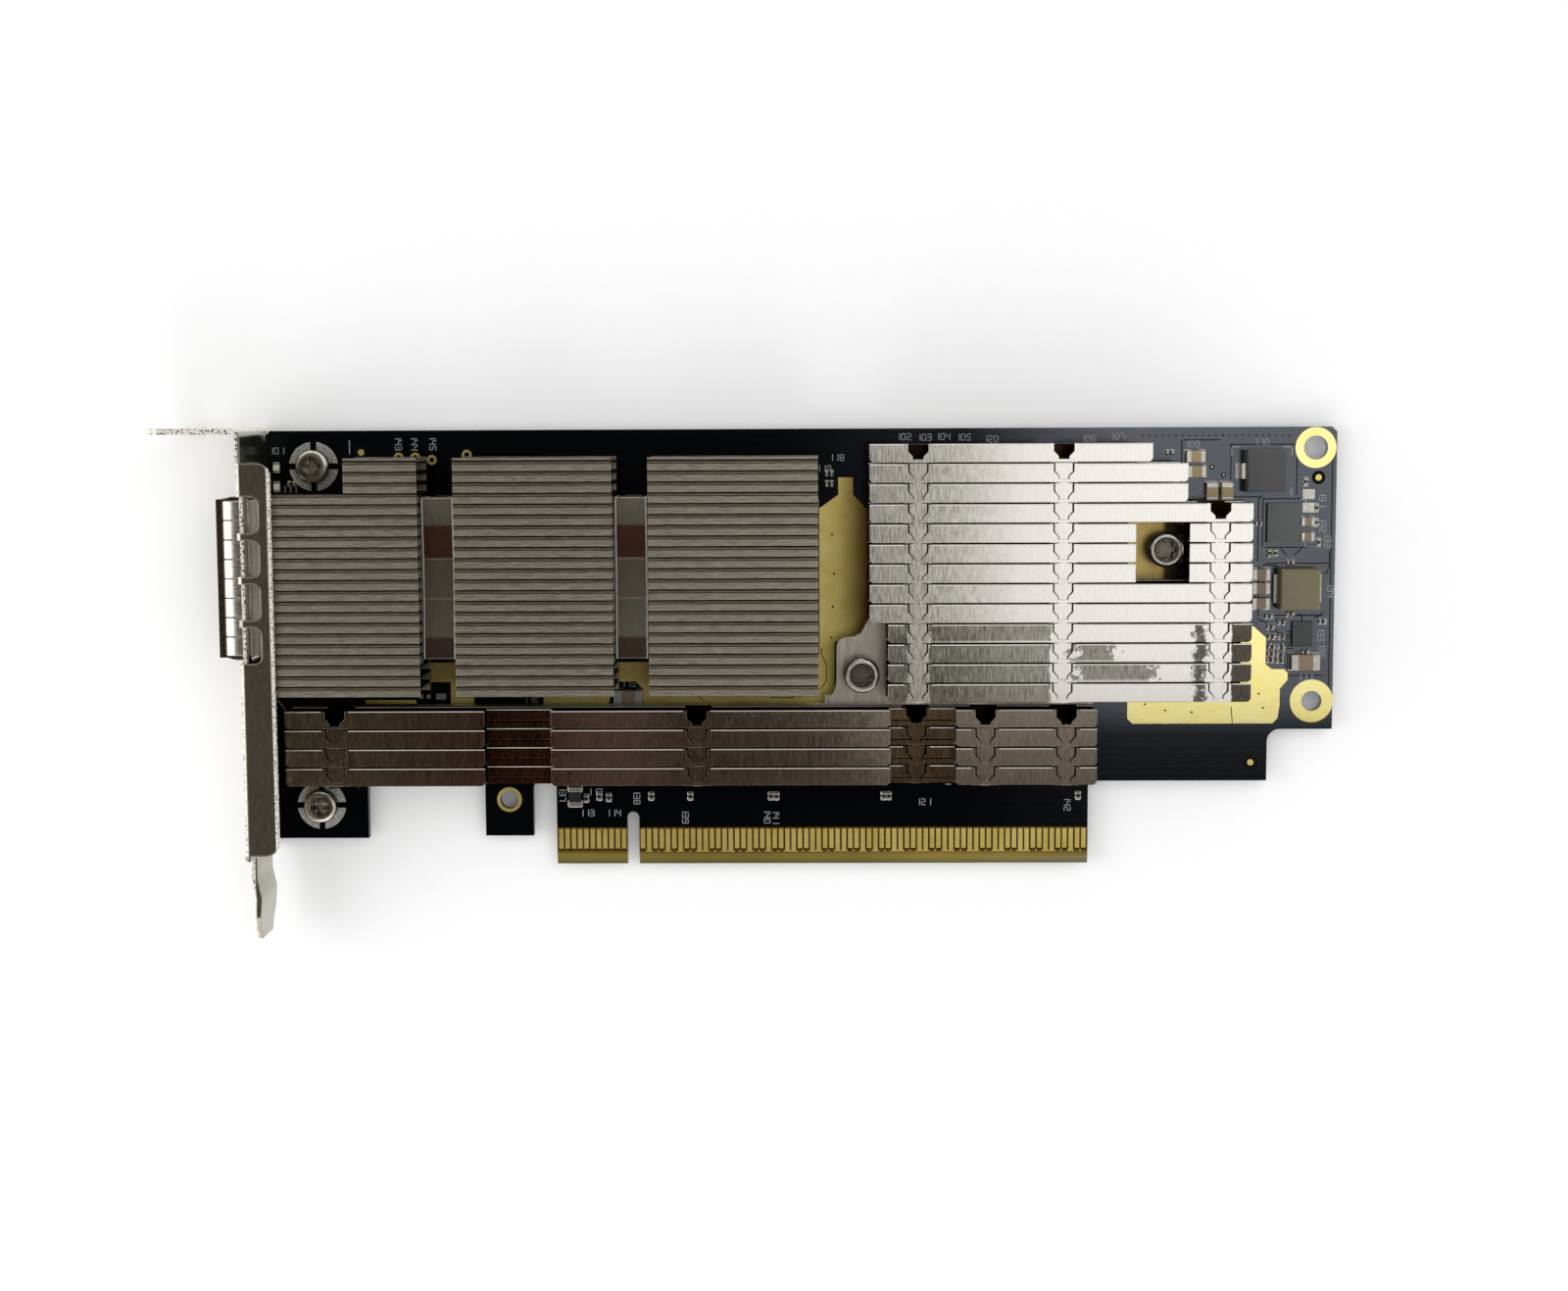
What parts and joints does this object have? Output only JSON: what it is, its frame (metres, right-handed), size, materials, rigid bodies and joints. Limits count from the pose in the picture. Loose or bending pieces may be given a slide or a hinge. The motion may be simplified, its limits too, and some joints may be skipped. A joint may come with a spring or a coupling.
{
  "type": "network adapter card",
  "caption": "Low-profile network adapter card with a bracket, one module port, finned heatsinks on the port and controller, and an edge connector.",
  "frame": {"origin": "middle of the key notch of the edge connector, on its seating edge, on the component face of the board", "axes": "+X along the card away from the bracket, +Y from the seating edge to the long top edge, +Z out of the component face"},
  "size_m": [0.1822, 0.0792, 0.0184],
  "materials": {
    "solder_mask": "satin black solder mask over glass laminate",
    "gold_plate": "thin gold plating",
    "bracket_steel": "zinc plated sheet steel",
    "cage_steel": "tinned sheet steel",
    "finger_steel": "nickel plated spring strip",
    "connector_plastic": "moulded black thermoplastic",
    "contact_metal": "gold plated contact",
    "saddle_aluminium": "nickel plated aluminium",
    "cage_fins": "folded aluminium fins",
    "strap_steel": "bright spring steel",
    "package_laminate": "black package laminate",
    "lid_metal": "nickel plated copper lid",
    "pad_rubber": "thermal gap pad",
    "pipe_copper": "copper heat pipe",
    "base_metal": "nickel plated base plate",
    "stack_fins": "bright nickel plated aluminium fins",
    "strip_fins": "bright nickel plated aluminium fins",
    "standoff_metal": "plated steel",
    "screw_metal": "nickel plated steel",
    "spring_metal": "spring wire",
    "ferrite_black": "black moulded inductor",
    "pressed_alloy": "pressed metal powder",
    "tin_plate": "bright tin plate",
    "moulded_epoxy": "black mould compound",
    "ceramic_tan": "tan sintered ceramic",
    "ceramic_brown": "brown sintered ceramic",
    "resistor_film": "black glaze",
    "fuse_body": "pale ceramic body",
    "led_lens": "milky lens"
  },
  "bodies": {
    "root": {"circuit_board": "solder_mask", "front_fingers": "gold_plate", "back_fingers": "gold_plate", "cage_ground_plane": "gold_plate", "corner_ground_plane": "gold_plate", "end_hole_rings": "gold_plate", "hook_hole_ring": "gold_plate", "screw_rings": "gold_plate", "test_points": "gold_plate", "bracket": "bracket_steel", "cage": "cage_steel", "cage_feet": "cage_steel", "nose_collar": "finger_steel", "host_connector": "connector_plastic", "host_contacts": "contact_metal", "cage_saddle": "saddle_aluminium", "fin_block_front": "cage_fins", "fin_block_middle": "cage_fins", "fin_block_rear": "cage_fins", "strap_front": "strap_steel", "strap_rear": "strap_steel", "controller_package": "package_laminate", "controller_lid": "lid_metal", "thermal_pad": "pad_rubber", "heat_pipe": "pipe_copper", "heatsink_base": "base_metal", "upper_fin_stack": "stack_fins", "lower_fin_strip": "strip_fins", "heatsink_standoffs": "standoff_metal", "spring_screws": "screw_metal", "screw_springs": "spring_metal", "bracket_screws": "screw_metal", "power_inductor": "ferrite_black", "power_inductor_leads": "tin_plate", "core_inductor": "pressed_alloy", "core_inductor_leads": "tin_plate", "power_stage": "moulded_epoxy", "regulator_chip": "moulded_epoxy", "open_pads": "tin_plate", "tan_capacitors": "ceramic_tan", "brown_capacitors": "ceramic_brown", "bulk_capacitors": "ceramic_brown", "capacitor_ends": "tin_plate", "resistors": "resistor_film", "resistor_ends": "tin_plate", "input_fuse": "fuse_body", "input_fuse_ends": "tin_plate", "status_leds": "led_lens", "status_led_ends": "tin_plate"}
  },
  "joints": []
}
